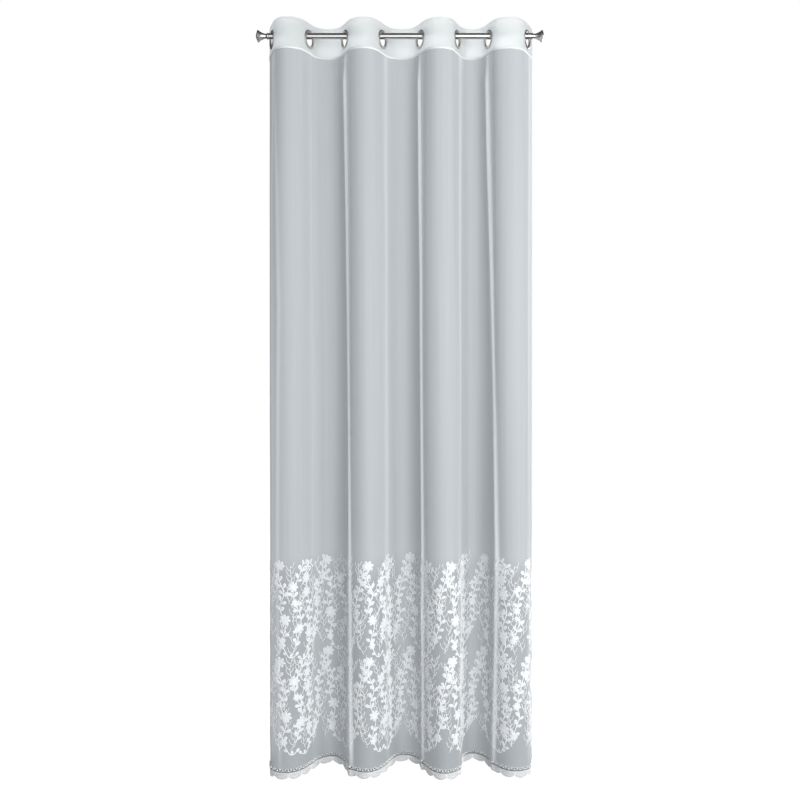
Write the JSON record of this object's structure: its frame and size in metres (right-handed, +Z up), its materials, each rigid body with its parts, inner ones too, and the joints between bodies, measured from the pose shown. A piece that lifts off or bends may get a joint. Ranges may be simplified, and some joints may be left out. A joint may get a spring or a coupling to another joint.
{
  "type": "sheer voile eyelet curtain on rod",
  "caption": "Sheer voile curtain with an opaque eyelet heading, floral stitched border and scalloped lace hem, hanging in soft folds from a round rod with trumpet finials.",
  "frame": {"origin": "on the rod's axis, halfway along the rod", "axes": "+X along the rod to the right as seen from the room, +Y away from the room towards the window, +Z up"},
  "size_m": [0.9646, 0.1463, 2.5],
  "materials": {
    "voile": "sheer plain-weave polyester voile, cool white, with raised white machine embroidery near the foot",
    "heading": "opaque white stiffened heading band, stitched along its lower edge",
    "lace": "off-white cotton lace edging with a plaited braid along its top",
    "nickel": "satin nickel plate, softly reflective"
  },
  "bodies": {
    "root": {"rod": "nickel", "finial_left": "nickel", "finial_right": "nickel", "eyelet_1": "nickel", "eyelet_2": "nickel", "eyelet_3": "nickel", "eyelet_4": "nickel", "eyelet_5": "nickel", "eyelet_6": "nickel", "eyelet_7": "nickel", "eyelet_8": "nickel", "heading": "heading", "voile": "voile", "lace_edging": "lace"}
  },
  "joints": []
}
